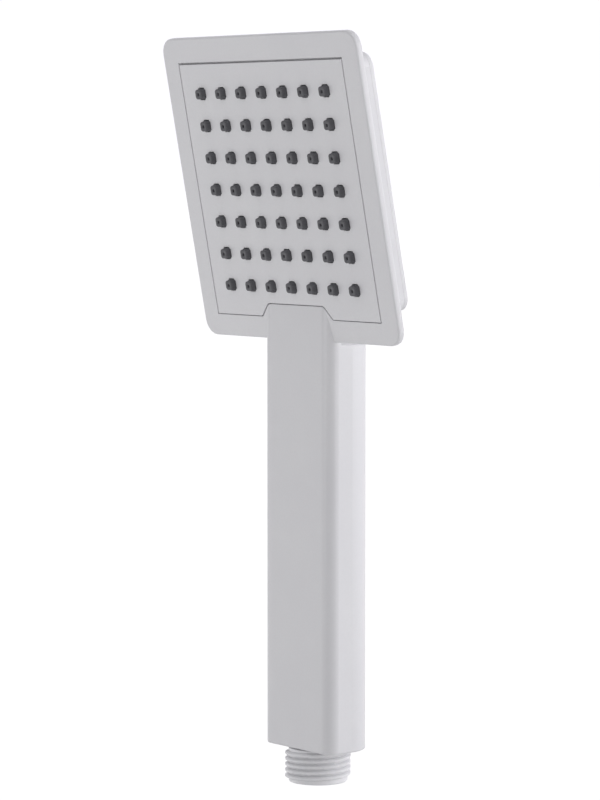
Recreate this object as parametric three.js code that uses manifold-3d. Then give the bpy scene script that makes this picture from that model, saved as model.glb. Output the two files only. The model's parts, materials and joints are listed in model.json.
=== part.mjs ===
// Handheld shower head: a square spray head on a D-shaped handle, with its water path and check valve.
// Millimetres. The origin is the centre of the hose seat at the threaded end, +Z runs up the handle,
// -Y is the spray side. Head pieces are drawn flat, face up, in a frame of their own and then placed.
import * as THREE from "three";
import { mergeVertices } from "three/addons/utils/BufferGeometryUtils.js";
import Module from "manifold-3d";

const wasm = await Module();
wasm.setup();

// Head: position and outline
const HEAD_TILT = 11.2;
const HEAD_CENTRE_Y = -16.3;
const HEAD_CENTRE_Z = 187.5;
const HEAD_RISE = 0.4;
const PLATE_SIDE = 96.8;
const PLATE_CORNER = 5;
const PLATE_THICKNESS = 2.5;
const PLATE_EDGE = 0.6;
const HOUSING_HALF = 40.2;
const HOUSING_CORNER = 4.5;
const HOUSING_WALL = 2;
const HOUSING_DEPTH = 10.9;
const COVER_BACK = 12.6;
const PIECE_GAP = 0.3;
const LOOSE_FIT = 0.1;

// Spray face: opening in the frame, with a notch where the handle runs in
const OPENING_HALF = 40.95;
const NOTCH_TOP = -36.7;
const NOTCH_TOP_HALF = 13.5;
const NOTCH_FOOT_HALF = 17.4;
const NOTCH_TOP_CORNER = 2.4;
const NOTCH_FOOT_CORNER = 1.2;
const PANEL_GAP = 0.5;
const PANEL_DROP = 0.2;
const PANEL_THICKNESS = 1.8;
const NOZZLE_ROWS = 7;
const NOZZLE_PITCH = 10.3;
const NIB_SIDE = 3.5;
const NIB_TIP_SIDE = 3.2;
const NIB_CORNER = 0.8;
const NIB_HEIGHT = 1.75;
const NIB_BORE = 0.55;
const NIB_CLEARANCE = 0.25;
const MAT_FRONT = PANEL_THICKNESS + PIECE_GAP;
const MAT_THICKNESS = 1;
const MAT_HALF = 36.9;
const MAT_BOTTOM = -36;

// Water chamber behind the nozzle mat
const TRAY_FRONT = MAT_FRONT + MAT_THICKNESS + PIECE_GAP;
const TRAY_BACK = 9;
const TRAY_HALF = 37.2;
const TRAY_BOTTOM = -36.3;
const TRAY_CORNER = 2.5;
const CHAMBER_HALF = 33.4;
const CHAMBER_CORNER = 6;
const CHAMBER_BACK = 7.2;
const SUMP_HALF = 8.6;
const SUMP_TOP = -22;
const SUMP_BACK = 10.7;
const SUMP_WALL = 1.6;

// Flat pipe that carries water through the neck
const NECK_PIPE_DEPTH = 7.2;
const NECK_PIPE_WIDTH = 13.2;
const NECK_PIPE_HEIGHT = 4.6;
const NECK_PIPE_WALL = 0.95;
const NECK_PIPE_TOP = -35.4;
const NECK_PIPE_BOTTOM = -59;
const SOCKET_TOP = -34.1;
const SEAL_THICKNESS = 0.8;
const PASSAGE_CLEARANCE = 0.6;

// Screws that clamp the tray to the spray panel, and the tray to the housing
const SCREW_EDGE = 35.3;
const SCREW_BOTTOM = -34.6;
const SCREW_BETWEEN = 1.5 * NOZZLE_PITCH;
const SCREW_SHANK = 0.8;
const SCREW_HOLE = 0.95;
const SCREW_HEAD = 1.6;
const SCREW_HEAD_HEIGHT = 1.3;
const SCREW_CROWN_WIDTH = 0.7;
const SCREW_CROWN_HEIGHT = 0.4;
const SCREW_TIP = 1;
const BOSS_RADIUS = 1.8;
const LUG_HEIGHT = 17;
const LUG_HALF = 3.5;
const LUG_FRONT = 9.3;
const LUG_BACK = 10.1;
const LUG_REACH = 33.2;
const LOW_HEAD_HEIGHT = 0.7;
const LUG_SCREW_TIP = 5.4;
const LUG_HOLE_END = 5;

// Clips on the back cover
const CLIP_CENTRE = 7.5;
const CLIP_HALF = 3.5;
const CLIP_OUTER = 37.4;
const CLIP_THICKNESS = 1.1;
const CLIP_REACH = 9.4;

// Handle
const HANDLE_WIDTH = 33.6;
const HANDLE_FRONT = -9.2;
const HANDLE_BACK = 11.7;
const HANDLE_FRONT_CORNER = 3.9;
const HANDLE_BACK_CORNER = 11.5;
const HANDLE_BOTTOM = 11.1;
const HANDLE_TOP = 139.6;
const HANDLE_EDGE = 0.6;
const HANDLE_WALL = 1.6;
const CAVITY_TOP = 136.4;
const TONGUE_TOP = 152.2;
const TONGUE_REACH = 12;
const NECK_HALF = 12.5;
const NECK_FRONT = -6;
const NECK_BACK = 9.4;
const NECK_CORNER = 4;
const NECK_START = 138;
const NECK_END = -38.6;
const NECK_END_FRONT = -1.5;
const NECK_END_BACK = -10.7;

// Threaded inlet, G 1/2
const THREAD_CREST = 10.4775;
const THREAD_ROOT = 9.3155;
const THREAD_PITCH = 1.814;
const THREAD_CREST_FLAT = 0.36;
const THREAD_START = 0.8;
const THREAD_BEARING = 37;
const THREAD_TURNS = 5.1;
const THREAD_RUNOUT = 0.15;
const THREAD_BURIED = 0.25;
const THREAD_FAINT = 0.02;
const NIPPLE_NOSE = 9.3;
const NIPPLE_CHAMFER = 0.25;
const NIPPLE_BORE = 6.6;
const NIPPLE_BORE_TOP = 14.2;
const NIPPLE_PLUG_BOTTOM = 11.4;
const NIPPLE_PLUG_TOP = 17;
const NIPPLE_SPIGOT_TOP = 27;

// Round joints between the spigots and the water tube
const SPIGOT_RADIUS = 5.9;
const SPIGOT_BORE = 4.3;
const GROOVE_RADIUS = 5;
const GROOVE_HEIGHT = 1.7;
const RING_SECTION = 0.6;
const RING_CENTRE = GROOVE_RADIUS + RING_SECTION + LOOSE_FIT;
const SOCKET_RADIUS = 6.45;
const SOCKET_OUTER = 7.3;
const SOCKET_LENGTH = 10;
const TUBE_INNER = 4.9;
const TUBE_OUTER = 6.1;
const TUBE_BOTTOM = 17.4;
const TUBE_TOP = 124;
const LOWER_GROOVE = 23;
const UPPER_GROOVE = 118.6;
const ELBOW_BOTTOM = 114.6;
const ELBOW_SHOULDER = 124.4;
const ELBOW_TOP = 135;
const ELBOW_RADIUS = 7.3;
const ELBOW_BORE_TOP = 131;

// Check valve, flow regulator and filter
const VALVE_OUTER = 6.4;
const SEAT_BOTTOM = 3.2;
const SEAT_TOP = 5;
const SEAT_HOLE = 3.6;
const CAGE_BOTTOM = 5.3;
const CAGE_TOP = 13.6;
const CAGE_INNER = 5.3;
const HUB_BOTTOM = 11.6;
const HUB_OUTER = 2.6;
const HUB_HOLE = 1.25;
const ARM_WIDTH = 1.2;
const ARM_COUNT = 3;
const SEAL_BOTTOM = 5.25;
const SEAL_TOP = 5.75;
const SEAL_RADIUS = 4.4;
const NOSE_RADIUS = 1.4;
const NOSE_BOTTOM = 4.6;
const POPPET_BOTTOM = 6;
const POPPET_TOP = 7.1;
const POPPET_RADIUS = 4.6;
const STEM_RADIUS = 1;
const STEM_TOP = 13.2;
const SPRING_RADIUS = 1.85;
const SPRING_WIRE = 0.28;
const SPRING_BOTTOM = 7.5;
const SPRING_TOP = 11.2;
const SPRING_TURNS = 4;
const FILTER_BOTTOM = 1;
const FILTER_TOP = 2.6;
const FILTER_DISC = 0.6;
const FILTER_RIM = 1;
const FILTER_BAR = 0.7;
const FILTER_HOLES = 4;
const REGULATOR_BOTTOM = 17.6;
const REGULATOR_TOP = 20.6;
const REGULATOR_OUTER = 4;
const REGULATOR_RIM = 0.9;
const REGULATOR_HUB = 1.5;
const REGULATOR_FLOOR = 1;
const REGULATOR_HOLE = 0.45;
const REGULATOR_HOLES = 6;
const REGULATOR_HOLE_CIRCLE = 2.3;
const REGULATOR_RING = 2.2;
const REGULATOR_RING_SECTION = 0.5;

// How finely round shapes are divided
const ROUND = 24;
const SMALL = 12;
const TINY = 6;
const THREAD_STEPS = 24;
const SPRING_STEPS = 12;
const HANDLE_CORNER_STEPS = 8;
const CORNER_STEPS = 5;
const SMALL_CORNER_STEPS = 3;
const NIB_CORNER_STEPS = 1;
const EDGE_STEPS = 3;
const MERGE_DISTANCE = 1e-4;
const OVERRUN = 1;

// ---------------------------------------------------------------- outlines

// Replaces each corner of a closed outline by an arc of the given radius.
function rounded(corners, radii, steps) {
  return corners.flatMap((corner, i) => {
    const radius = Array.isArray(radii) ? radii[i] : radii;
    if (!radius) return [corner.clone()];
    const before = corners.at(i - 1).clone().sub(corner).normalize();
    const after = corners[(i + 1) % corners.length].clone().sub(corner).normalize();
    const half = Math.acos(before.dot(after)) / 2;
    const middle = before.clone().add(after).normalize();
    const centre = corner.clone().addScaledVector(middle, radius / Math.sin(half));
    const start = corner.clone().addScaledVector(before, radius / Math.tan(half)).sub(centre);
    const end = corner.clone().addScaledVector(after, radius / Math.tan(half)).sub(centre);
    const turn = Math.atan2(start.cross(end), start.dot(end));
    return Array.from({ length: steps + 1 }, (_, k) =>
      start.clone().rotateAround(new THREE.Vector2(), (turn * k) / steps).add(centre));
  });
}

function rectangle(left, right, bottom, top) {
  return [
    new THREE.Vector2(left, bottom),
    new THREE.Vector2(right, bottom),
    new THREE.Vector2(right, top),
    new THREE.Vector2(left, top),
  ];
}

function roundedSquare(half, corner) {
  return rounded(rectangle(-half, half, -half, half), corner, CORNER_STEPS);
}

// Outline of the handle, drawn smaller all round by the inset.
function handleOutline(inset) {
  const half = HANDLE_WIDTH / 2 - inset;
  const front = HANDLE_FRONT_CORNER - inset;
  const back = HANDLE_BACK_CORNER - inset;
  const corners = rectangle(-half, half, HANDLE_FRONT + inset, HANDLE_BACK - inset);
  return rounded(corners, [front, front, back, back], HANDLE_CORNER_STEPS);
}

// Outline of the opening in the head frame, drawn smaller all round by the gap.
function openingOutline(gap) {
  const half = OPENING_HALF - gap;
  const topHalf = NOTCH_TOP_HALF + gap;
  const footHalf = NOTCH_FOOT_HALF + gap;
  const corners = [
    new THREE.Vector2(-half, -half),
    new THREE.Vector2(-footHalf, -half),
    new THREE.Vector2(-topHalf, NOTCH_TOP + gap),
    new THREE.Vector2(topHalf, NOTCH_TOP + gap),
    new THREE.Vector2(footHalf, -half),
    new THREE.Vector2(half, -half),
    new THREE.Vector2(half, half),
    new THREE.Vector2(-half, half),
  ];
  const foot = NOTCH_FOOT_CORNER;
  const top = NOTCH_TOP_CORNER;
  return rounded(corners, [0, foot, top, top, foot, 0, 0, 0], CORNER_STEPS);
}

// Flat-sided pipe outline: two half circles joined by straight lines.
function pipeOutline(width, height) {
  const radius = height / 2 - MERGE_DISTANCE;
  return rounded(rectangle(-width / 2, width / 2, -height / 2, height / 2), radius, CORNER_STEPS);
}

// ---------------------------------------------------------------- solids

function solid(geometry) {
  const bare = geometry.clone();
  bare.deleteAttribute("normal");
  bare.deleteAttribute("uv");
  const merged = mergeVertices(bare, MERGE_DISTANCE);
  return new wasm.Manifold(
    new wasm.Mesh({
      numProp: 3,
      vertProperties: merged.attributes.position.array,
      triVerts: new Uint32Array(merged.index.array),
    }),
  );
}

// Straight prism of an outline between two heights.
function prism(outline, bottom, top) {
  const shape = new THREE.Shape(outline);
  const settings = { depth: top - bottom, bevelEnabled: false, steps: 1 };
  return solid(new THREE.ExtrudeGeometry(shape, settings).translate(0, 0, bottom));
}

// Prism with its end edges rounded over.
function softPrism(outline, bottom, top, edge) {
  const shape = new THREE.Shape(outline);
  const settings = {
    depth: top - bottom - 2 * edge,
    bevelEnabled: true,
    bevelThickness: edge,
    bevelSize: edge,
    bevelOffset: -edge,
    bevelSegments: EDGE_STEPS,
    steps: 1,
  };
  return solid(new THREE.ExtrudeGeometry(shape, settings).translate(0, 0, bottom + edge));
}

function box(left, right, bottom, top, low, high) {
  return prism(rectangle(left, right, bottom, top), low, high);
}

// Turned about Z from [radius, height] pairs that run anticlockwise round the section.
function turned(profile, segments = ROUND) {
  const points = [...profile, profile[0]].map(([radius, height]) => new THREE.Vector2(radius, height));
  return solid(new THREE.LatheGeometry(points, segments).rotateX(Math.PI / 2));
}

function cylinder(radius, bottom, top, segments = ROUND) {
  return turned([[0, bottom], [radius, bottom], [radius, top], [0, top]], segments);
}

function tube(inner, outer, bottom, top, segments = ROUND) {
  return turned([[inner, bottom], [outer, bottom], [outer, top], [inner, top]], segments);
}

function ring(radius, section, height) {
  return solid(new THREE.TorusGeometry(radius, section, TINY, ROUND).translate(0, 0, height));
}

// Closed body from a stack of closed loops with the same number of points.
function stacked(loops) {
  const count = loops[0].length;
  const positions = loops.flat().flatMap((point) => [point.x, point.y, point.z]);
  const index = [];
  for (let level = 0; level + 1 < loops.length; level++) {
    for (let i = 0; i < count; i++) {
      const here = level * count + i;
      const next = level * count + ((i + 1) % count);
      index.push(here, next, next + count, here, next + count, here + count);
    }
  }
  const last = (loops.length - 1) * count;
  for (let i = 1; i + 1 < count; i++) {
    index.push(0, i + 1, i, last, last + i, last + i + 1);
  }
  const geometry = new THREE.BufferGeometry();
  geometry.setAttribute("position", new THREE.Float32BufferAttribute(positions, 3));
  geometry.setIndex(index);
  return solid(geometry);
}

// Sweeps a small section, given as [outward, upward] pairs, along a right-hand helix about Z.
function helix({ radiusAt, start, pitch, turns, stepsPerTurn, section }) {
  const steps = Math.round(turns * stepsPerTurn);
  const loops = Array.from({ length: steps + 1 }, (_, k) => {
    const share = k / steps;
    const angle = share * turns * 2 * Math.PI;
    const height = start + share * turns * pitch;
    return section(share).map(([outward, upward]) => {
      const radius = radiusAt + outward;
      return new THREE.Vector3(radius * Math.cos(angle), radius * Math.sin(angle), height + upward);
    });
  });
  return stacked(loops.reverse());
}

// Moves a solid from the flat head frame to its place on the handle.
function placed(head) {
  return head.rotate([90 + HEAD_TILT, 0, 0]).translate([0, HEAD_CENTRE_Y, HEAD_CENTRE_Z]);
}

// A prism of an outline in the plane across the neck, drawn as x and depth behind the face.
function neckPrism(outline, bottom, top) {
  return prism(outline, bottom, top).rotate([-90, 0, 0]).translate([0, 0, -NECK_PIPE_DEPTH]);
}

function union(solids) {
  return wasm.Manifold.union(solids);
}

// ---------------------------------------------------------------- positions

function nozzleCentres() {
  const middle = (NOZZLE_ROWS - 1) / 2;
  const centres = [];
  for (let row = 0; row < NOZZLE_ROWS; row++) {
    for (let column = 0; column < NOZZLE_ROWS; column++) {
      centres.push([(column - middle) * NOZZLE_PITCH, (row - middle) * NOZZLE_PITCH]);
    }
  }
  return centres;
}

function trayScrewCentres() {
  return [
    [-SCREW_EDGE, SCREW_EDGE],
    [0, SCREW_EDGE],
    [SCREW_EDGE, SCREW_EDGE],
    [-SCREW_EDGE, 0],
    [SCREW_EDGE, 0],
    [-SCREW_EDGE, SCREW_BOTTOM],
    [-SCREW_BETWEEN, SCREW_BOTTOM],
    [SCREW_BETWEEN, SCREW_BOTTOM],
    [SCREW_EDGE, SCREW_BOTTOM],
  ];
}

function lugCentres() {
  return [-1, 1].flatMap((side) => [-1, 1].map((level) => [side * SCREW_EDGE, level * LUG_HEIGHT]));
}

// ---------------------------------------------------------------- body and cover

function headFrame() {
  const plate = softPrism(roundedSquare(PLATE_SIDE / 2, PLATE_CORNER), -PLATE_THICKNESS, 0, PLATE_EDGE);
  const housing = prism(
    roundedSquare(HOUSING_HALF, HOUSING_CORNER),
    -HOUSING_DEPTH,
    -PLATE_THICKNESS / 2,
  );
  return plate.add(housing).translate([0, HEAD_RISE, 0]);
}

function headHollow() {
  const pocket = prism(openingOutline(0), -MAT_FRONT, OVERRUN);
  const room = prism(
    roundedSquare(HOUSING_HALF - HOUSING_WALL, HOUSING_CORNER - HOUSING_WALL),
    -HOUSING_DEPTH - OVERRUN,
    -MAT_FRONT,
  ).translate([0, HEAD_RISE, 0]);
  return pocket.add(room);
}

function lugs() {
  const blocks = lugCentres().map(([x, y]) => {
    const side = Math.sign(x);
    const ends = [side * LUG_REACH, side * (HOUSING_HALF - HOUSING_WALL / 2)].sort((a, b) => a - b);
    return box(ends[0], ends[1], y - LUG_HALF, y + LUG_HALF, -LUG_BACK, -LUG_FRONT);
  });
  return union(blocks).subtract(screwHoles(lugCentres(), -LUG_BACK - OVERRUN, -LUG_FRONT + OVERRUN));
}

function screwHoles(centres, bottom, top) {
  return union(centres.map(([x, y]) => cylinder(SCREW_HOLE, bottom, top, SMALL).translate([x, y, 0])));
}

// The neck changes from the handle's outline to the flat back of the head.
function neck() {
  const lower = rounded(
    rectangle(-NECK_HALF, NECK_HALF, NECK_FRONT, NECK_BACK),
    NECK_CORNER,
    CORNER_STEPS,
  ).map((point) => new THREE.Vector3(point.x, point.y, NECK_START));
  const upper = rounded(
    rectangle(-NECK_HALF, NECK_HALF, NECK_END_BACK, NECK_END_FRONT),
    NECK_CORNER,
    CORNER_STEPS,
  ).map((point) => new THREE.Vector3(point.x, NECK_END, -point.y + NECK_END_BACK + NECK_END_FRONT));
  const tilt = THREE.MathUtils.degToRad(90 + HEAD_TILT);
  upper.forEach((point) => {
    point.applyAxisAngle(new THREE.Vector3(1, 0, 0), tilt);
    point.add(new THREE.Vector3(0, HEAD_CENTRE_Y, HEAD_CENTRE_Z));
  });
  return stacked([lower, upper]);
}

// The front of the handle runs up over the frame until the tilted face meets it.
function tongue() {
  const top = prism(handleOutline(0), HANDLE_TOP - 2 * HANDLE_EDGE, TONGUE_TOP);
  const half = PLATE_SIDE / 2;
  const slab = box(-half, half, -half - TONGUE_REACH, 0, -PLATE_THICKNESS, PLATE_SIDE);
  return top.intersect(placed(slab));
}

function bodyShell() {
  const handle = softPrism(handleOutline(0), HANDLE_BOTTOM, HANDLE_TOP, HANDLE_EDGE);
  const outside = union([placed(headFrame()), handle, neck(), tongue()]);
  const cavity = prism(handleOutline(HANDLE_WALL), HANDLE_BOTTOM - OVERRUN, CAVITY_TOP);
  const passage = placed(neckPrism(
    pipeOutline(NECK_PIPE_WIDTH + 2 * PASSAGE_CLEARANCE, NECK_PIPE_HEIGHT + 2 * PASSAGE_CLEARANCE),
    NECK_PIPE_BOTTOM,
    TRAY_BOTTOM,
  ));
  return outside.subtract(union([placed(headHollow()), cavity, passage])).add(placed(lugs()));
}

function backCover() {
  const front = -HOUSING_DEPTH - PIECE_GAP;
  const plate = softPrism(roundedSquare(HOUSING_HALF, HOUSING_CORNER), -COVER_BACK, front, PLATE_EDGE);
  const clips = [-1, 1].flatMap((side) => [-1, 1].map((level) => {
    const ends = [side * (CLIP_OUTER - CLIP_THICKNESS), side * CLIP_OUTER].sort((a, b) => a - b);
    const middle = level * CLIP_CENTRE;
    return box(ends[0], ends[1], middle - CLIP_HALF, middle + CLIP_HALF, front - PLATE_EDGE, -CLIP_REACH);
  }));
  return placed(union([plate, ...clips]).translate([0, HEAD_RISE, 0]));
}

// ---------------------------------------------------------------- spray module

// Square outline round one nozzle.
function nibOutline(side) {
  return rounded(rectangle(-side / 2, side / 2, -side / 2, side / 2), NIB_CORNER, NIB_CORNER_STEPS);
}

function sprayPanel() {
  const panel = prism(openingOutline(PANEL_GAP), -PANEL_THICKNESS, 0).translate([0, -PANEL_DROP, 0]);
  const bosses = trayScrewCentres().map(([x, y]) =>
    cylinder(BOSS_RADIUS, -TRAY_FRONT + PIECE_GAP, -PANEL_THICKNESS / 2, SMALL).translate([x, y, 0]));
  const hole = prism(
    nibOutline(NIB_SIDE + 2 * NIB_CLEARANCE),
    -PANEL_THICKNESS - OVERRUN,
    OVERRUN,
  );
  const holes = nozzleCentres().map(([x, y]) => hole.translate([x, y, 0]));
  const screws = screwHoles(trayScrewCentres(), -TRAY_FRONT, -SCREW_TIP + PIECE_GAP);
  return placed(union([panel, ...bosses]).subtract(union([...holes, screws])));
}

function nib() {
  const levels = [
    [nibOutline(NIB_SIDE), -MAT_FRONT - MAT_THICKNESS / 2],
    [nibOutline(NIB_TIP_SIDE), NIB_HEIGHT],
  ];
  return stacked(levels.map(([outline, height]) =>
    outline.map((point) => new THREE.Vector3(point.x, point.y, height))));
}

function nozzleMat() {
  const sheet = prism(
    rounded(rectangle(-MAT_HALF, MAT_HALF, MAT_BOTTOM, MAT_HALF), TRAY_CORNER, SMALL_CORNER_STEPS),
    -MAT_FRONT - MAT_THICKNESS,
    -MAT_FRONT,
  );
  const shape = nib();
  const bore = cylinder(NIB_BORE, -TRAY_FRONT - OVERRUN, NIB_HEIGHT + OVERRUN, TINY);
  const nibs = nozzleCentres().map(([x, y]) => shape.translate([x, y, 0]));
  const bores = nozzleCentres().map(([x, y]) => bore.translate([x, y, 0]));
  const bossHoles = trayScrewCentres().map(([x, y]) =>
    cylinder(BOSS_RADIUS + PIECE_GAP, -TRAY_FRONT, 0, SMALL).translate([x, y, 0]));
  return placed(union([sheet, ...nibs]).subtract(union([...bores, ...bossHoles])));
}

// Shallow tray that closes the chamber behind the mat; its sump takes the water in from the neck.
function chamberTray() {
  const corners = rectangle(-TRAY_HALF, TRAY_HALF, TRAY_BOTTOM, TRAY_HALF);
  const outline = rounded(corners, TRAY_CORNER, SMALL_CORNER_STEPS);
  const block = prism(outline, -TRAY_BACK, -TRAY_FRONT);
  const sump = box(-SUMP_HALF, SUMP_HALF, TRAY_BOTTOM, SUMP_TOP, -SUMP_BACK, -CHAMBER_BACK);
  const chamber = prism(
    roundedSquare(CHAMBER_HALF, CHAMBER_CORNER),
    -CHAMBER_BACK,
    -TRAY_FRONT + OVERRUN,
  );
  const inside = SUMP_HALF - SUMP_WALL;
  const well = box(
    -inside,
    inside,
    -CHAMBER_HALF,
    SUMP_TOP - SUMP_WALL,
    -SUMP_BACK + SUMP_WALL / 2,
    -CHAMBER_BACK + OVERRUN,
  );
  const socket = neckPrism(
    pipeOutline(NECK_PIPE_WIDTH + 2 * PIECE_GAP, NECK_PIPE_HEIGHT + 2 * PIECE_GAP),
    TRAY_BOTTOM - OVERRUN,
    SOCKET_TOP,
  );
  const inlet = neckPrism(pipeBore(), TRAY_BOTTOM, -CHAMBER_HALF + OVERRUN);
  const clampHoles = screwHoles(trayScrewCentres(), -TRAY_BACK - OVERRUN, 0);
  const lugHoles = screwHoles(lugCentres(), -TRAY_BACK - OVERRUN, -LUG_HOLE_END);
  return placed(block.add(sump).subtract(union([chamber, well, socket, inlet, clampHoles, lugHoles])));
}

function pipeBore() {
  return pipeOutline(NECK_PIPE_WIDTH - 2 * NECK_PIPE_WALL, NECK_PIPE_HEIGHT - 2 * NECK_PIPE_WALL);
}

// Screw with a pan head and a pointed end, driven from behind the head.
function screw(headFront, headHeight, tip) {
  return turned([
    [0, -headFront - headHeight],
    [SCREW_HEAD * SCREW_CROWN_WIDTH, -headFront - headHeight],
    [SCREW_HEAD, -headFront - headHeight * (1 - SCREW_CROWN_HEIGHT)],
    [SCREW_HEAD, -headFront],
    [SCREW_SHANK, -headFront],
    [SCREW_SHANK, -tip - SCREW_SHANK],
    [0, -tip],
  ], SMALL);
}

// ---------------------------------------------------------------- water path

function neckSeal() {
  const outer = pipeOutline(NECK_PIPE_WIDTH, NECK_PIPE_HEIGHT);
  const bottom = SOCKET_TOP - SEAL_THICKNESS - PIECE_GAP / 2;
  const top = bottom + SEAL_THICKNESS;
  return placed(neckPrism(outer, bottom, top)
    .subtract(neckPrism(pipeBore(), bottom - OVERRUN, top + OVERRUN)));
}

// Groove for a sealing ring, cut round a spigot.
function groove(height) {
  return tube(
    GROOVE_RADIUS,
    SPIGOT_RADIUS + OVERRUN,
    height - GROOVE_HEIGHT / 2,
    height + GROOVE_HEIGHT / 2,
  );
}

function waterElbow() {
  const spigot = cylinder(SPIGOT_RADIUS, ELBOW_BOTTOM, ELBOW_SHOULDER + OVERRUN);
  const barrel = turned([
    [0, ELBOW_SHOULDER],
    [ELBOW_RADIUS, ELBOW_SHOULDER],
    [ELBOW_RADIUS, ELBOW_TOP - HANDLE_EDGE],
    [ELBOW_RADIUS - HANDLE_EDGE, ELBOW_TOP],
    [0, ELBOW_TOP],
  ]);
  const outer = pipeOutline(NECK_PIPE_WIDTH, NECK_PIPE_HEIGHT);
  const pipe = placed(neckPrism(outer, NECK_PIPE_BOTTOM, NECK_PIPE_TOP));
  const pipeHole = placed(neckPrism(pipeBore(), NECK_PIPE_BOTTOM, NECK_PIPE_TOP + OVERRUN));
  const bore = cylinder(SPIGOT_BORE, ELBOW_BOTTOM - OVERRUN, ELBOW_BORE_TOP);
  return union([spigot, barrel, pipe]).subtract(union([pipeHole, bore, groove(UPPER_GROOVE)]));
}

function waterTube() {
  const lowerSocket = TUBE_BOTTOM + SOCKET_LENGTH;
  const upperSocket = TUBE_TOP - SOCKET_LENGTH;
  const step = SOCKET_OUTER - TUBE_OUTER;
  return turned([
    [SOCKET_RADIUS, TUBE_BOTTOM],
    [SOCKET_OUTER, TUBE_BOTTOM],
    [SOCKET_OUTER, lowerSocket],
    [TUBE_OUTER, lowerSocket + step],
    [TUBE_OUTER, upperSocket - step],
    [SOCKET_OUTER, upperSocket],
    [SOCKET_OUTER, TUBE_TOP],
    [SOCKET_RADIUS, TUBE_TOP],
    [SOCKET_RADIUS, upperSocket],
    [TUBE_INNER, upperSocket],
    [TUBE_INNER, lowerSocket],
    [SOCKET_RADIUS, lowerSocket],
  ]);
}

// Thread ridge that grows out of the root at its start and sinks back at its end.
function threadSection(share) {
  const fade = Math.min(1, Math.min(share, 1 - share) / THREAD_RUNOUT * THREAD_TURNS / 2);
  const depth = (THREAD_CREST - THREAD_ROOT) * Math.max(fade, THREAD_FAINT);
  const rootHalf = (THREAD_PITCH - THREAD_CREST_FLAT) / 2;
  const crestHalf = THREAD_CREST_FLAT / 2;
  return [
    [-THREAD_BURIED, -rootHalf],
    [depth, -crestHalf],
    [depth, crestHalf],
    [-THREAD_BURIED, rootHalf],
  ];
}

function inletNipple() {
  const stem = turned([
    [0, 0],
    [NIPPLE_NOSE - NIPPLE_CHAMFER, 0],
    [NIPPLE_NOSE, NIPPLE_CHAMFER],
    [THREAD_ROOT, THREAD_PITCH],
    [THREAD_ROOT, HANDLE_BOTTOM - PIECE_GAP],
    [SPIGOT_RADIUS, HANDLE_BOTTOM - PIECE_GAP],
    [SPIGOT_RADIUS, NIPPLE_SPIGOT_TOP],
    [0, NIPPLE_SPIGOT_TOP],
  ], THREAD_STEPS);
  const thread = helix({
    radiusAt: THREAD_ROOT,
    start: THREAD_START,
    pitch: THREAD_PITCH,
    turns: THREAD_TURNS,
    stepsPerTurn: THREAD_STEPS,
    section: threadSection,
  }).rotate([0, 0, THREAD_BEARING]);
  const plugOutline = handleOutline(HANDLE_WALL + PIECE_GAP);
  const joinBottom = HANDLE_BOTTOM - PIECE_GAP - OVERRUN;
  const joining = cylinder(THREAD_ROOT, joinBottom, NIPPLE_PLUG_BOTTOM + OVERRUN, THREAD_STEPS);
  const fitted = joining.intersect(prism(plugOutline, joinBottom, NIPPLE_PLUG_TOP));
  const plug = prism(plugOutline, NIPPLE_PLUG_BOTTOM, NIPPLE_PLUG_TOP);
  const wideBore = cylinder(NIPPLE_BORE, -OVERRUN, NIPPLE_BORE_TOP);
  const bore = cylinder(SPIGOT_BORE, 0, NIPPLE_SPIGOT_TOP + OVERRUN);
  return union([stem, thread, fitted, plug]).subtract(union([wideBore, bore, groove(LOWER_GROOVE)]));
}

// ---------------------------------------------------------------- valve, regulator, filter

function valveCage() {
  const wall = tube(CAGE_INNER, VALVE_OUTER, CAGE_BOTTOM, CAGE_TOP);
  const arms = Array.from({ length: ARM_COUNT }, (_, i) =>
    box(0, CAGE_INNER + OVERRUN, -ARM_WIDTH / 2, ARM_WIDTH / 2, HUB_BOTTOM, CAGE_TOP)
      .rotate([0, 0, (360 * i) / ARM_COUNT]));
  const hub = cylinder(HUB_OUTER, HUB_BOTTOM, CAGE_TOP, ROUND);
  const hole = cylinder(HUB_HOLE, HUB_BOTTOM - OVERRUN, CAGE_TOP + OVERRUN, SMALL);
  return union([wall, hub, ...arms]).subtract(hole);
}

function valvePoppet() {
  return turned([
    [0, NOSE_BOTTOM],
    [NOSE_RADIUS, NOSE_BOTTOM],
    [NOSE_RADIUS, POPPET_BOTTOM],
    [POPPET_RADIUS, POPPET_BOTTOM],
    [POPPET_RADIUS, POPPET_TOP],
    [STEM_RADIUS, POPPET_TOP],
    [STEM_RADIUS, STEM_TOP],
    [0, STEM_TOP],
  ]);
}

function valveSpring() {
  const wire = Array.from({ length: TINY }, (_, i) => {
    const angle = (2 * Math.PI * i) / TINY;
    return [SPRING_WIRE * Math.cos(angle), SPRING_WIRE * Math.sin(angle)];
  });
  return helix({
    radiusAt: SPRING_RADIUS,
    start: SPRING_BOTTOM,
    pitch: (SPRING_TOP - SPRING_BOTTOM) / SPRING_TURNS,
    turns: SPRING_TURNS,
    stepsPerTurn: SPRING_STEPS,
    section: () => wire,
  });
}

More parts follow.
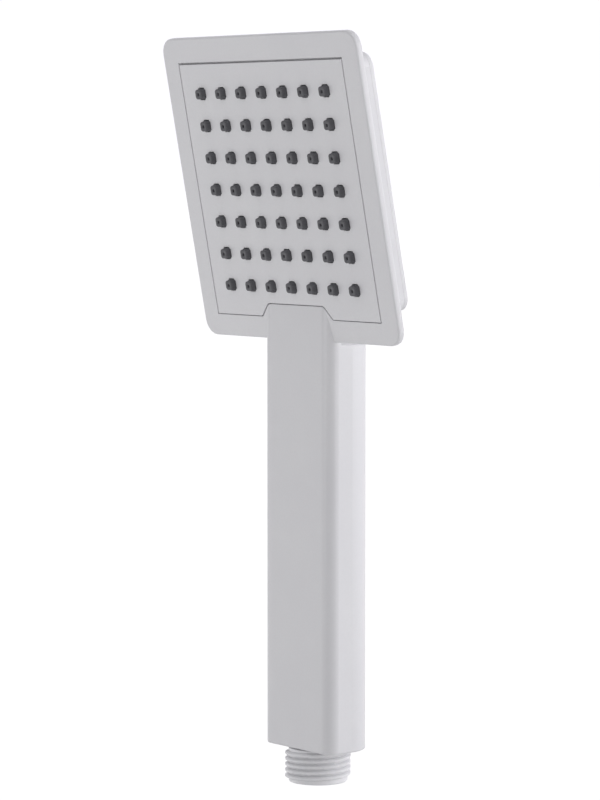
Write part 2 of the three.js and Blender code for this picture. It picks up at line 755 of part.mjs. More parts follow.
function inletFilter() {
  const rim = tube(VALVE_OUTER - FILTER_RIM, VALVE_OUTER, FILTER_BOTTOM, FILTER_TOP);
  const disc = cylinder(VALVE_OUTER - FILTER_RIM / 2, FILTER_BOTTOM, FILTER_BOTTOM + FILTER_DISC);
  const pitch = (2 * (VALVE_OUTER - FILTER_RIM)) / (FILTER_HOLES + 1);
  const half = (pitch - FILTER_BAR) / 2;
  const holes = [];
  for (let row = 0; row < FILTER_HOLES; row++) {
    for (let column = 0; column < FILTER_HOLES; column++) {
      const x = (column - (FILTER_HOLES - 1) / 2) * pitch;
      const y = (row - (FILTER_HOLES - 1) / 2) * pitch;
      holes.push(box(x - half, x + half, y - half, y + half, 0, FILTER_TOP));
    }
  }
  const room = cylinder(VALVE_OUTER - FILTER_RIM - FILTER_BAR, 0, FILTER_TOP);
  return union([rim, disc]).subtract(union(holes).intersect(room));
}

function flowRegulator() {
  const wall = tube(REGULATOR_OUTER - REGULATOR_RIM, REGULATOR_OUTER, REGULATOR_BOTTOM, REGULATOR_TOP);
  const floorTop = REGULATOR_BOTTOM + REGULATOR_FLOOR;
  const floor = cylinder(REGULATOR_OUTER - REGULATOR_RIM / 2, REGULATOR_BOTTOM, floorTop);
  const hub = cylinder(REGULATOR_HUB, REGULATOR_BOTTOM, REGULATOR_TOP, SMALL);
  const holes = Array.from({ length: REGULATOR_HOLES }, (_, i) =>
    cylinder(REGULATOR_HOLE, 0, floorTop + OVERRUN, TINY)
      .translate([REGULATOR_HOLE_CIRCLE, 0, 0])
      .rotate([0, 0, (360 * i) / REGULATOR_HOLES]));
  return union([wall, floor, hub]).subtract(union(holes));
}

function regulatorRing() {
  const height = REGULATOR_BOTTOM + REGULATOR_FLOOR + REGULATOR_RING_SECTION + PIECE_GAP / 2;
  return ring(REGULATOR_RING + LOOSE_FIT, REGULATOR_RING_SECTION, height);
}

// ---------------------------------------------------------------- assembly

const group = new THREE.Group();

function material(color, roughness, metalness) {
  return { color, roughness, metalness };
}

const WHITE_PLASTIC = material("#e2e2e4", 0.45, 0);
const GREY_SILICONE = material("#57575c", 0.6, 0);
const INNER_PLASTIC = material("#c9ccd0", 0.5, 0);
const VALVE_PLASTIC = material("#3f6fb0", 0.45, 0);
const BLACK_RUBBER = material("#1c1c1e", 0.7, 0);
const STEEL = material("#b9bcc0", 0.3, 1);

function put(name, shape, look) {
  const data = shape.getMesh();
  const geometry = new THREE.BufferGeometry();
  geometry.setAttribute("position", new THREE.BufferAttribute(new Float32Array(data.vertProperties), 3));
  geometry.setIndex(new THREE.BufferAttribute(new Uint32Array(data.triVerts), 1));
  geometry.computeVertexNormals();
  const mesh = new THREE.Mesh(geometry, new THREE.MeshStandardMaterial(look));
  mesh.name = name;
  group.add(mesh);
}

put("body_shell", bodyShell(), WHITE_PLASTIC);
put("back_cover", backCover(), WHITE_PLASTIC);
put("spray_panel", sprayPanel(), WHITE_PLASTIC);
put("nozzle_mat", nozzleMat(), GREY_SILICONE);
put("chamber_tray", chamberTray(), INNER_PLASTIC);
put("neck_seal", neckSeal(), BLACK_RUBBER);
put("water_elbow", waterElbow(), INNER_PLASTIC);
put("water_tube", waterTube(), INNER_PLASTIC);
put("tube_ring_upper", ring(RING_CENTRE, RING_SECTION, UPPER_GROOVE), BLACK_RUBBER);
put("tube_ring_lower", ring(RING_CENTRE, RING_SECTION, LOWER_GROOVE), BLACK_RUBBER);
put("inlet_nipple", inletNipple(), WHITE_PLASTIC);
put("inlet_filter", inletFilter(), STEEL);
put("valve_seat", tube(SEAT_HOLE, VALVE_OUTER, SEAT_BOTTOM, SEAT_TOP), VALVE_PLASTIC);
put("valve_cage", valveCage(), VALVE_PLASTIC);
put("valve_poppet", valvePoppet(), INNER_PLASTIC);
put("valve_seal", tube(NOSE_RADIUS + LOOSE_FIT, SEAL_RADIUS, SEAL_BOTTOM, SEAL_TOP), BLACK_RUBBER);
put("valve_spring", valveSpring(), STEEL);
put("flow_regulator", flowRegulator(), VALVE_PLASTIC);
put("regulator_ring", regulatorRing(), BLACK_RUBBER);

trayScrewCentres().forEach(([x, y], i) => {
  const shape = placed(screw(TRAY_BACK + LOOSE_FIT, SCREW_HEAD_HEIGHT, SCREW_TIP).translate([x, y, 0]));
  put(`tray_screw_${i + 1}`, shape, STEEL);
});

lugCentres().forEach(([x, y], i) => {
  const shape = placed(screw(LUG_BACK + LOOSE_FIT, LOW_HEAD_HEIGHT, LUG_SCREW_TIP).translate([x, y, 0]));
  put(`lug_screw_${i + 1}`, shape, STEEL);
});

export default group;
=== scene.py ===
"""Handheld shower head: square spray head on a D-shaped handle, with its threaded hose end."""
import json
import math

import bmesh
import bpy
from mathutils import Matrix, Vector


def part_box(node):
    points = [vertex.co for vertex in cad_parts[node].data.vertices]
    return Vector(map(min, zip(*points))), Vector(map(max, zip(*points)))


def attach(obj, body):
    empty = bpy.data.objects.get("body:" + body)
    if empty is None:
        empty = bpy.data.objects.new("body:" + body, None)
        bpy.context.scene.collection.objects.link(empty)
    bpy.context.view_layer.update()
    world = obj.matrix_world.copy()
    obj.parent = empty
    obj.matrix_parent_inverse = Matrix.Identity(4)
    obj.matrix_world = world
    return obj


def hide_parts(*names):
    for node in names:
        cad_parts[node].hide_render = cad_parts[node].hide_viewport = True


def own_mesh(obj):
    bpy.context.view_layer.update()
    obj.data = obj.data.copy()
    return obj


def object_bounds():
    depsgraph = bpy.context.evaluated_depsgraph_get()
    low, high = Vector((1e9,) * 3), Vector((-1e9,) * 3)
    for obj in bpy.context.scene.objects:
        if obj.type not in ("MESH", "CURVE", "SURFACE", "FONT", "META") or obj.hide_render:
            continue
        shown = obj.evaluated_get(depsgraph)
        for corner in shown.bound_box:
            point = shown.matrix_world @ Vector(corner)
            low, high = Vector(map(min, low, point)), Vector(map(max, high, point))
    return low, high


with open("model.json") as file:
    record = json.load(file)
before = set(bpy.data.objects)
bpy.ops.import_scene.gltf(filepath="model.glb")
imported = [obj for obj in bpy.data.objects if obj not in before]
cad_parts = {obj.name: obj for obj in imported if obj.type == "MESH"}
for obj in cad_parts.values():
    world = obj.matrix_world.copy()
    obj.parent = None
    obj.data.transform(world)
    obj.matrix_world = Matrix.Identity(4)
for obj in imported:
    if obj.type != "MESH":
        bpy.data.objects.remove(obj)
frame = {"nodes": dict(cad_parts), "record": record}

MM = 0.001
HEAD_BODY = "shower_head"
cad_low, cad_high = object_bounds()

# Camera: where the photograph was taken from, and its lens
CAMERA_AZIMUTH = math.radians(51.24)
CAMERA_ELEVATION = math.radians(4.21)
CAMERA_DISTANCE = 1.027
CAMERA_LENS = 147.2
AIM = Vector((0.00084, -0.008, 0.1218))

# Floor, in metres: how far it lies below the part, half its side, and the distances from its
# middle between which its glow rises
FLOOR_DROP = 0.3
FLOOR_HALF = 40
FLOOR_NEAR = 0.8
FLOOR_FAR = 1.4
FLOOR_NEAR_GLOW = 0.175
FLOOR_FAR_GLOW = 0.72
FLOOR_GREY = 0.45

# Soft lobes of light all round: azimuth round from the camera's own bearing and elevation, in
# degrees, then sharpness and brightness
TENT_TINT = (0.985, 0.978, 1.02)
LOBES = [
    (0, 0, 2, 0.34),
    (-90, 0, 2, 0.3),
    (90, 0, 2, 0.25),
    (180, 0, 2, 1.04),
    (0, 90, 2, 0.7),
    (88, 8, 14, 4.6),
]

# Soft boxes near the head: azimuth, elevation, distance and side in metres, and power in watts
SOFT_BOXES = [
    (-105, -30, 0.45, 0.3, 0.2),
    (85, 15, 0.6, 0.3, 0.1),
]

# Head: tilt and centre of the spray face, as the frame has them
HEAD_TILT = math.radians(11.2)
HEAD_CENTRE = Vector((0, -16.3, 187.5)) * MM

# Speckles to a metre in the white plastic, and depths of the surface grain
SPECKLES = 1400
COARSE_BUMP = 0.03 * MM
FINE_BUMP = 0.02 * MM
DRAWN_BUMP = 0.01 * MM

# Pointiness over which the painted highlight on edges and the painted shade in hollows show: a flat face
# has 0.5
HIGHLIGHT_EDGE_POINTINESS = (0.51, 0.6)
SHADED_HOLLOW_POINTINESS = (0.44, 0.5)

# How CAD pieces are softened: points nearer than the reach are merged, facets that turn less than
# the facet turn are joined, and edges sharper than the sharp turn are rounded
WELD_REACH = 0.001 * MM
FACET_TURN = math.radians(0.5)
SHARP_TURN = math.radians(32)
SHELL_ROUNDING = 0.22 * MM
PANEL_ROUNDING = 0.25 * MM
INNER_ROUNDING = 0.15 * MM
SOFTENED_INNER = [
    "chamber_tray",
    "water_elbow",
    "water_tube",
    "flow_regulator",
    "valve_cage",
    "valve_poppet",
]

# Faces whose planes lie within a step of each other count as one side, and a side as large as the
# area, or larger, is shaded flat
FLAT_STEP = 0.05 * MM
FLAT_AREA = 300 * MM * MM

# Points of a new piece that lie nearer to each other than this are merged
DOUBLE_REACH = 0.0001 * MM

# Back cover, flush with the housing
COVER_SIDE = 80.4 * MM
COVER_CORNER = 4.5 * MM
COVER_FRONT = -10.92 * MM
COVER_BACK = -12.6 * MM
COVER_RISE = 0.4 * MM
COVER_EDGE = 0.6 * MM
COVER_SEAM = 0.06 * MM
COVER_STEPS = 6
COVER_CORNER_STEPS = 12

# Nozzles, with heights from the spray face. A nib is straight from its foot to its root and then
# draws in to its tip: at the swell's share of its height it is wider than the tip by the swell
NOZZLE_ROWS = 7
NOZZLE_PITCH = 10.3 * MM
NIB_SIDE = 3.5 * MM
NIB_TIP_SIDE = 3.05 * MM
NIB_CORNER = 0.8 * MM
NIB_CORNER_SHARE = 0.6
NIB_FOOT = -2.6 * MM
NIB_ROOT = -0.1 * MM
NIB_HEIGHT = 1.6 * MM
NIB_SWELL = 0.1 * MM
NIB_SWELL_SHARE = 0.6
NIB_EDGE = 0.28 * MM
NIB_EDGE_STEPS = 4
NIB_MOUTH = 0.62 * MM
NIB_MOUTH_DEPTH = 0.3 * MM
NIB_BORE = 0.45 * MM
NIB_BORE_FLOOR = -2.2 * MM
CORNER_STEPS = 6

# Sheet behind the panel that carries the nibs
MAT_FRONT = -2.1 * MM
MAT_BACK = -3.1 * MM
MAT_CORNER = 2.5 * MM
MAT_TRIM = 0.9 * MM

# Threaded end, G 1/2
THREAD_CREST = 10.4775 * MM
THREAD_ROOT = 9.3155 * MM
THREAD_PITCH = 1.814 * MM
THREAD_FLAT = 0.36 * MM
THREAD_START = 0.8 * MM
THREAD_BEARING = math.radians(37)
THREAD_TURNS = 5.1
THREAD_FADE_TURNS = 0.3
THREAD_FULLNESS = 0.9
NOSE_RADIUS = 9.3 * MM
NOSE_CHAMFER = 0.25 * MM
NIPPLE_TOP = 10.8 * MM
NIPPLE_EDGE = 0.15 * MM
NIPPLE_BORE = 6.6 * MM
NIPPLE_BORE_TOP = 14.2 * MM
NIPPLE_STEPS = 160
NIPPLE_ROW = 0.09 * MM

# D-shaped plug that closes the handle, and the spigot above it
PLUG_BOTTOM = 11.4 * MM
PLUG_TOP = 17 * MM
PLUG_HALF_WIDTH = 14.9 * MM
PLUG_FRONT = -7.3 * MM
PLUG_BACK = 9.8 * MM
PLUG_FRONT_CORNER = 2 * MM
PLUG_BACK_CORNER = 9.6 * MM
PLUG_HALVINGS = 24
SPIGOT_RADIUS = 5.9 * MM
SPIGOT_BORE = 4.3 * MM
SPIGOT_TOP = 27 * MM
GROOVE_RADIUS = 5 * MM
GROOVE_BOTTOM = 22.15 * MM
GROOVE_TOP = 23.85 * MM

# Valve spring
SPRING_RADIUS = 1.85 * MM
SPRING_WIRE = 0.28 * MM
SPRING_TURNS = 4
SPRING_STEPS = 36
SPRING_SIDES = 10


def head_matrix():
    """From the flat head frame, face up, to the head's place on the handle."""
    return Matrix.Translation(HEAD_CENTRE) @ Matrix.Rotation(math.pi / 2 + HEAD_TILT, 4, "X")


# ---------------------------------------------------------------- camera and studio

def to_camera():
    """Unit vector from the aim to the camera."""
    flat = math.cos(CAMERA_ELEVATION)
    return Vector((
        math.sin(CAMERA_AZIMUTH) * flat,
        -math.cos(CAMERA_AZIMUTH) * flat,
        math.sin(CAMERA_ELEVATION),
    ))


def make_camera():
    data = bpy.data.cameras.new("camera")
    data.lens = CAMERA_LENS
    camera = bpy.data.objects.new("camera", data)
    bpy.context.collection.objects.link(camera)
    camera.location = AIM + to_camera() * CAMERA_DISTANCE
    camera.rotation_mode = "QUATERNION"
    camera.rotation_quaternion = (-to_camera()).to_track_quat("-Z", "Y")
    bpy.context.scene.camera = camera


def direction(round_camera, elevation):
    """Unit vector at an azimuth in degrees round from the camera's, and an elevation in degrees."""
    azimuth = CAMERA_AZIMUTH + math.radians(round_camera)
    flat = math.cos(math.radians(elevation))
    rise = math.sin(math.radians(elevation))
    return Vector((math.sin(azimuth) * flat, -math.cos(azimuth) * flat, rise))


def make_world():
    """A light tent, drawn as soft lobes of light round the object."""
    world = bpy.data.worlds.new("tent")
    bpy.context.scene.world = world
    world.use_nodes = True
    nodes, links = world.node_tree.nodes, world.node_tree.links
    nodes.clear()
    place = nodes.new("ShaderNodeTexCoord")
    total = None
    for azimuth, elevation, sharpness, brightness in LOBES:
        toward = nodes.new("ShaderNodeVectorMath")
        toward.operation = "DOT_PRODUCT"
        toward.inputs[1].default_value = direction(azimuth, elevation)
        links.new(place.outputs["Generated"], toward.inputs[0])
        facing = world_math(world, "MAXIMUM", toward.outputs["Value"], 0)
        lobe = world_math(world, "POWER", facing, sharpness)
        lit = world_math(world, "MULTIPLY", lobe, brightness)
        total = lit if total is None else world_math(world, "ADD", total, lit)
    background = nodes.new("ShaderNodeBackground")
    output = nodes.new("ShaderNodeOutputWorld")
    links.new(total, background.inputs["Strength"])
    background.inputs["Color"].default_value = (*TENT_TINT, 1)
    links.new(background.outputs["Background"], output.inputs["Surface"])


def world_math(world, operation, first, second):
    node = world.node_tree.nodes.new("ShaderNodeMath")
    node.operation = operation
    for socket, value in zip(node.inputs, (first, second)):
        if isinstance(value, bpy.types.NodeSocket):
            world.node_tree.links.new(value, socket)
        else:
            socket.default_value = value
    return node.outputs["Value"]


def make_soft_boxes():
    for number, (azimuth, elevation, distance, size, power) in enumerate(SOFT_BOXES):
        data = bpy.data.lights.new(f"soft_box_{number}", "AREA")
        data.shape = "SQUARE"
        data.size = size
        data.energy = power
        lamp = bpy.data.objects.new(f"soft_box_{number}", data)
        bpy.context.collection.objects.link(lamp)
        lamp.location = HEAD_CENTRE + direction(azimuth, elevation) * distance
        lamp.rotation_mode = "QUATERNION"
        lamp.rotation_quaternion = (-direction(azimuth, elevation)).to_track_quat("-Z", "Y")
        lamp.visible_camera = False


def make_floor():
    """Pale floor that glows white far off and is dimmer under the object."""
    mesh = bpy.data.meshes.new("floor")
    height = cad_low.z - FLOOR_DROP
    signs = [(-1, -1), (1, -1), (1, 1), (-1, 1)]
    corners = [(x * FLOOR_HALF, y * FLOOR_HALF, height) for x, y in signs]
    mesh.from_pydata(corners, [], [(0, 1, 2, 3)])
    floor = bpy.data.objects.new("floor", mesh)
    bpy.context.collection.objects.link(floor)
    material = bpy.data.materials.new("floor_white")
    material.use_nodes = True
    nodes, links = material.node_tree.nodes, material.node_tree.links
    shader = nodes["Principled BSDF"]
    shader.inputs["Base Color"].default_value = (FLOOR_GREY, FLOOR_GREY, FLOOR_GREY, 1)
    shader.inputs["Roughness"].default_value = 0.9
    shader.inputs["Specular IOR Level"].default_value = 0.1
    shader.inputs["Emission Color"].default_value = (1, 1, 1, 1)
    place = nodes.new("ShaderNodeTexCoord")
    reach = nodes.new("ShaderNodeVectorMath")
    reach.operation = "LENGTH"
    links.new(place.outputs["Object"], reach.inputs[0])
    away = reach.outputs["Value"]
    glow = ranged(material, away, FLOOR_NEAR_GLOW, FLOOR_FAR_GLOW, FLOOR_NEAR, FLOOR_FAR)
    links.new(glow, shader.inputs["Emission Strength"])
    mesh.materials.append(material)


# ---------------------------------------------------------------- materials

def new_material(name, colour, roughness, metallic=0.0):
    material = bpy.data.materials.new(name)
    material.use_nodes = True
    shader = material.node_tree.nodes["Principled BSDF"]
    shader.inputs["Base Color"].default_value = (*colour, 1)
    shader.inputs["Roughness"].default_value = roughness
    shader.inputs["Metallic"].default_value = metallic
    return material, shader


def noise(material, per_metre, detail=3.0, stretch=(1, 1, 1)):
    """Noise over the object's own coordinates, with that many features a metre."""
    nodes, links = material.node_tree.nodes, material.node_tree.links
    place = nodes.new("ShaderNodeTexCoord")
    mapping = nodes.new("ShaderNodeMapping")
    mapping.inputs["Scale"].default_value = stretch
    texture = nodes.new("ShaderNodeTexNoise")
    texture.inputs["Scale"].default_value = per_metre
    texture.inputs["Detail"].default_value = detail
    links.new(place.outputs["Object"], mapping.inputs["Vector"])
    links.new(mapping.outputs["Vector"], texture.inputs["Vector"])
    return texture.outputs["Factor" if "Factor" in texture.outputs else "Fac"]


def ranged(material, source, low, high, from_low=0.3, from_high=0.7):
    """source, stretched to run from low to high."""
    node = material.node_tree.nodes.new("ShaderNodeMapRange")
    node.inputs["From Min"].default_value = from_low
    node.inputs["From Max"].default_value = from_high
    node.inputs["To Min"].default_value = low
    node.inputs["To Max"].default_value = high
    material.node_tree.links.new(source, node.inputs["Value"])
    return node.outputs["Result"]


def multiplied(material, first, second):
    node = material.node_tree.nodes.new("ShaderNodeMath")
    node.operation = "MULTIPLY"
    material.node_tree.links.new(first, node.inputs[0])
    material.node_tree.links.new(second, node.inputs[1])
    return node.outputs["Value"]


def mixed(material, factor, first, second):
    """A colour between first and second; either may be a colour or a socket."""
    node = material.node_tree.nodes.new("ShaderNodeMix")
    node.data_type = "RGBA"
    for socket, value in (("A", first), ("B", second)):
        if isinstance(value, bpy.types.NodeSocket):
            material.node_tree.links.new(value, node.inputs[socket])
        else:
            node.inputs[socket].default_value = (*value, 1)
    material.node_tree.links.new(factor, node.inputs["Factor"])
    return node.outputs["Result"]


def bumped(material, shader, height, strength, distance):
    """Lets height, from 0 to 1, raise the surface by up to distance."""
    node = material.node_tree.nodes.new("ShaderNodeBump")
    node.inputs["Strength"].default_value = strength
    node.inputs["Distance"].default_value = distance
    material.node_tree.links.new(height, node.inputs["Height"])
    material.node_tree.links.new(node.outputs["Normal"], shader.inputs["Normal"])


def edge_highlight_mask(material):
    """Rises from 0 to 1 on convex edges, where it masks a painted highlight."""
    geometry = material.node_tree.nodes.new("ShaderNodeNewGeometry")
    return ranged(material, geometry.outputs["Pointiness"], 0, 1, *HIGHLIGHT_EDGE_POINTINESS)


def painted_shade_in_hollows(material):
    """Rises from 0 to 1 in hollow places, where it masks painted shade."""
    geometry = material.node_tree.nodes.new("ShaderNodeNewGeometry")
    return ranged(material, geometry.outputs["Pointiness"], 1, 0, *SHADED_HOLLOW_POINTINESS)


def satin_white():
    """White ABS with a fine spark-eroded grain, faintly uneven, with light rubbed patches."""
    material, shader = new_material("satin_white", (0.8, 0.8, 0.8), 0.45)
    links = material.node_tree.links
    cloud = noise(material, 45, 2)
    speckle = noise(material, SPECKLES, 2)
    grain = noise(material, 3200, 4)
    body = mixed(material, ranged(material, cloud, 0, 1), (0.775, 0.772, 0.785), (0.8, 0.798, 0.806))
    speckled = mixed(material, ranged(material, speckle, 0, 0.35), body, (0.75, 0.748, 0.757))
    rubbed = ranged(material, noise(material, 120, 3), 0, 0.15, 0.55, 0.75)
    worn = mixed(material, rubbed, speckled, (0.86, 0.86, 0.865))
    links.new(worn, shader.inputs["Base Color"])
    links.new(ranged(material, speckle, 0.4, 0.54), shader.inputs["Roughness"])
    bumped(material, shader, grain, 0.35, COARSE_BUMP)
    return material


def thread_white_with_painted_light():
    """The white of the threaded end: a lighter copy of the shell's white, brighter than the shell as
    painted light, with painted shade in the thread's roots.
    """
    material, shader = new_material("thread_white_with_painted_light", (0.85, 0.85, 0.85), 0.4)
    links = material.node_tree.links
    speckle = noise(material, SPECKLES, 2)
    # Painted shade: hollows such as the thread's roots are darkened towards dark grey, in patches broken
    # up by noise
    root_shade_breakup = ranged(material, noise(material, 300, 3), 0.4, 0.75)
    painted_root_shade = multiplied(material, painted_shade_in_hollows(material), root_shade_breakup)
    # Painted light: this white is lighter than the shell's white, so the threaded end shows brighter
    body = mixed(material, ranged(material, speckle, 0, 1), (0.83, 0.828, 0.84), (0.88, 0.878, 0.886))
    links.new(mixed(material, painted_root_shade, body, (0.4, 0.4, 0.41)), shader.inputs["Base Color"])
    links.new(ranged(material, speckle, 0.36, 0.5), shader.inputs["Roughness"])
    bumped(material, shader, speckle, 0.2, FINE_BUMP)
    return material


def grey_silicone():
    """Soft grey rubber, matt, with a painted highlight lightening its edges."""
    material, shader = new_material("grey_silicone", (0.1, 0.1, 0.108), 0.6)
    links = material.node_tree.links
    cloud = noise(material, 260, 2)
    grain = noise(material, 5200, 3)
    body = mixed(material, ranged(material, cloud, 0, 1), (0.083, 0.083, 0.09), (0.112, 0.112, 0.121))
    # Painted highlight: the convex edges of the nibs and sheet are lightened towards a pale grey
    edge_highlight = ranged(material, edge_highlight_mask(material), 0, 0.5, 0, 1)
    highlighted_body = mixed(material, edge_highlight, body, (0.2, 0.2, 0.21))
    links.new(highlighted_body, shader.inputs["Base Color"])
    links.new(ranged(material, grain, 0.5, 0.7), shader.inputs["Roughness"])
    bumped(material, shader, grain, 0.3, FINE_BUMP)
    return material


def moulded(name, colour, dark, roughness):
    """Unpainted moulded plastic with flow marks."""
    material, shader = new_material(name, colour, roughness)
    links = material.node_tree.links
    flow = noise(material, 90, 3, (1, 1, 0.25))
    grain = noise(material, 2600, 3)
    links.new(mixed(material, ranged(material, flow, 0, 1), dark, colour), shader.inputs["Base Color"])
    links.new(ranged(material, grain, roughness - 0.07, roughness + 0.07), shader.inputs["Roughness"])
    bumped(material, shader, grain, 0.2, FINE_BUMP)
    return material


def black_rubber():
    """Black rubber of the seals, with a faint grey bloom."""
    material, shader = new_material("black_rubber", (0.015, 0.015, 0.016), 0.65)
    links = material.node_tree.links
    bloom = noise(material, 700, 4)
    body = mixed(material, ranged(material, bloom, 0, 1), (0.012, 0.012, 0.013), (0.03, 0.03, 0.032))
    links.new(body, shader.inputs["Base Color"])
    links.new(ranged(material, bloom, 0.55, 0.75), shader.inputs["Roughness"])
    bumped(material, shader, bloom, 0.2, FINE_BUMP)
    return material


def stainless():
    """Stainless steel with fine drawn lines."""
    material, shader = new_material("stainless", (0.55, 0.55, 0.56), 0.3, 1.0)
    links = material.node_tree.links
    lines = noise(material, 900, 3, (1, 1, 9))
    body = mixed(material, ranged(material, lines, 0, 1), (0.47, 0.47, 0.48), (0.62, 0.62, 0.63))
    links.new(body, shader.inputs["Base Color"])
    links.new(ranged(material, lines, 0.22, 0.38), shader.inputs["Roughness"])
    bumped(material, shader, lines, 0.15, DRAWN_BUMP)
    return material


MATERIALS = {
    "white_plastic": satin_white(),
    "grey_silicone": grey_silicone(),
    "inner_plastic": moulded("inner_plastic", (0.62, 0.63, 0.65), (0.56, 0.57, 0.59), 0.48),
    "valve_plastic": moulded("valve_plastic", (0.05, 0.16, 0.44), (0.04, 0.13, 0.37), 0.4),
    "black_rubber": black_rubber(),
    "steel": stainless(),
}


# ---------------------------------------------------------------- CAD pieces that stay

def slot_of(node):
    """The material slot that the record gives a CAD node."""
    for part in frame["record"]["subparts"]:
        if part["node"] == node:
            return part["material_slot"]
    raise KeyError(node)


def plane_of(polygon, step=0):
    """Names the plane that a face lies in, or the plane that many steps in front of it."""
    normal = polygon.normal
    offset = round(polygon.center.dot(normal) / FLAT_STEP) + step
    return (round(normal.x, 2), round(normal.y, 2), round(normal.z, 2), offset)


def smooth_round_faces(mesh):
    """Leaves a piece's broad flat sides flat and shades all its other faces smooth."""
    spread = {}
    for polygon in mesh.polygons:
        for step in (-1, 0, 1):
            plane = plane_of(polygon, step)
            spread[plane] = spread.get(plane, 0) + polygon.area
    flags = [spread[plane_of(polygon)] < FLAT_AREA for polygon in mesh.polygons]
    if "custom_normal" in mesh.attributes:
        mesh.attributes.remove(mesh.attributes["custom_normal"])
    mesh.polygons.foreach_set("use_smooth", flags)


def soften(node, width, segments):
    """Merges a CAD piece's flat faces, rounds its sharp edges and shades it smooth."""
    piece = frame["nodes"][node]
    joined = piece.modifiers.new("joined", "WELD")
    joined.merge_threshold = WELD_REACH
    flats = piece.modifiers.new("flats", "DECIMATE")
    flats.decimate_type = "DISSOLVE"
    flats.angle_limit = FACET_TURN
    rounding = piece.modifiers.new("rounding", "BEVEL")
    rounding.width = width
    rounding.segments = segments
    rounding.limit_method = "ANGLE"
    rounding.angle_limit = SHARP_TURN
    rounding.miter_outer = "MITER_ARC"
    rounding.use_clamp_overlap = True
    smooth_round_faces(piece.data)


def finish_cad_pieces():
    """Gives each CAD piece its material, and softens the larger ones."""
    for node, piece in frame["nodes"].items():
        piece.data.materials.clear()
        piece.data.materials.append(MATERIALS[slot_of(node)])
    soften("body_shell", SHELL_ROUNDING, 3)
    soften("spray_panel", PANEL_ROUNDING, 2)
    for node in SOFTENED_INNER:
        soften(node, INNER_ROUNDING, 2)


# ---------------------------------------------------------------- new pieces

def add_piece(name, mesh, slot, body, replaced):
    """Puts a new piece in the scene in the place of the CAD node that it replaces."""
    mesh.materials.append(MATERIALS[slot])
    piece = bpy.data.objects.new(name, mesh)
    bpy.context.collection.objects.link(piece)
    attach(piece, body)
    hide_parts(replaced)
    return piece


def mesh_from(name, build):
    """A mesh whose faces are made by build, then turned to face out and shaded smooth."""
    made = bmesh.new()
    build(made)
    bmesh.ops.remove_doubles(made, verts=made.verts, dist=DOUBLE_REACH)
    bmesh.ops.recalc_face_normals(made, faces=made.faces)
    mesh = bpy.data.meshes.new(name)
    made.to_mesh(mesh)
    made.free()
    mesh.polygons.foreach_set("use_smooth", [True] * len(mesh.polygons))
    return mesh


def add_loops(made, loops, matrix=Matrix.Identity(4), cap_first=False, cap_last=False):
    """Joins closed loops of points, one after another, with quads."""
    rings = [[made.verts.new(matrix @ Vector(point)) for point in loop] for loop in loops]
    for first, second in zip(rings, rings[1:]):
        for i in range(len(first)):
            j = (i + 1) % len(first)
            made.faces.new((first[i], first[j], second[j], second[i]))
    if cap_first:
        made.faces.new(list(reversed(rings[0])))
    if cap_last:
        made.faces.new(rings[-1])


def rounded_square(side, corner, height, steps=CORNER_STEPS):
    """Loop round a square with rounded corners."""
    half = side / 2 - corner
    loop = []
    for quarter in range(4):
        middle = math.pi / 4 + quarter * math.pi / 2
        centre = Vector((math.cos(middle), math.sin(middle))) * half * math.sqrt(2)
        for step in range(steps + 1):
            angle = quarter * math.pi / 2 + step / steps * math.pi / 2
            x = centre.x + corner * math.cos(angle)
            y = centre.y + corner * math.sin(angle)
            loop.append((x, y, height))
    return loop


def circle_loop(radius, height, like):
    """Circle with its points at the same angles as those of another loop."""
    loop = []
    for x, y, _ in like:
        angle = math.atan2(y, x)
        loop.append((radius * math.cos(angle), radius * math.sin(angle), height))
    return loop


def nib_loops():
    """Outside of a nib from its foot to its rounded tip, then in to the bore."""
    shoulder = NIB_HEIGHT - NIB_EDGE
    loops = [
        rounded_square(NIB_SIDE, NIB_CORNER, NIB_FOOT),
        rounded_square(NIB_SIDE, NIB_CORNER, NIB_ROOT),
        rounded_square(NIB_TIP_SIDE + NIB_SWELL, NIB_CORNER, shoulder * NIB_SWELL_SHARE),
    ]
    for step in range(NIB_EDGE_STEPS + 1):
        angle = step / NIB_EDGE_STEPS * math.pi / 2
        inset = NIB_EDGE * (1 - math.cos(angle))
        rise = NIB_EDGE * math.sin(angle)
        side = NIB_TIP_SIDE - 2 * inset
        loops.append(rounded_square(side, NIB_CORNER - inset * NIB_CORNER_SHARE, shoulder + rise))
    tip = loops[-1]
    loops.append(circle_loop(NIB_MOUTH, NIB_HEIGHT, tip))
    loops.append(circle_loop(NIB_BORE, NIB_HEIGHT - NIB_MOUTH_DEPTH, tip))
    loops.append(circle_loop(NIB_BORE, NIB_BORE_FLOOR, tip))
    return loops


def build_nozzle_mat(made):
    """The rubber sheet and the square grid of nibs that stand on it."""
    head = head_matrix()
    loops = nib_loops()
    middle = (NOZZLE_ROWS - 1) / 2
    for row in range(NOZZLE_ROWS):
        for column in range(NOZZLE_ROWS):
            x, y = (column - middle) * NOZZLE_PITCH, (row - middle) * NOZZLE_PITCH
            add_loops(made, loops, head @ Matrix.Translation((x, y, 0)), cap_first=True, cap_last=True)
    add_loops(made, mat_sheet_loops(), head, cap_first=True, cap_last=True)


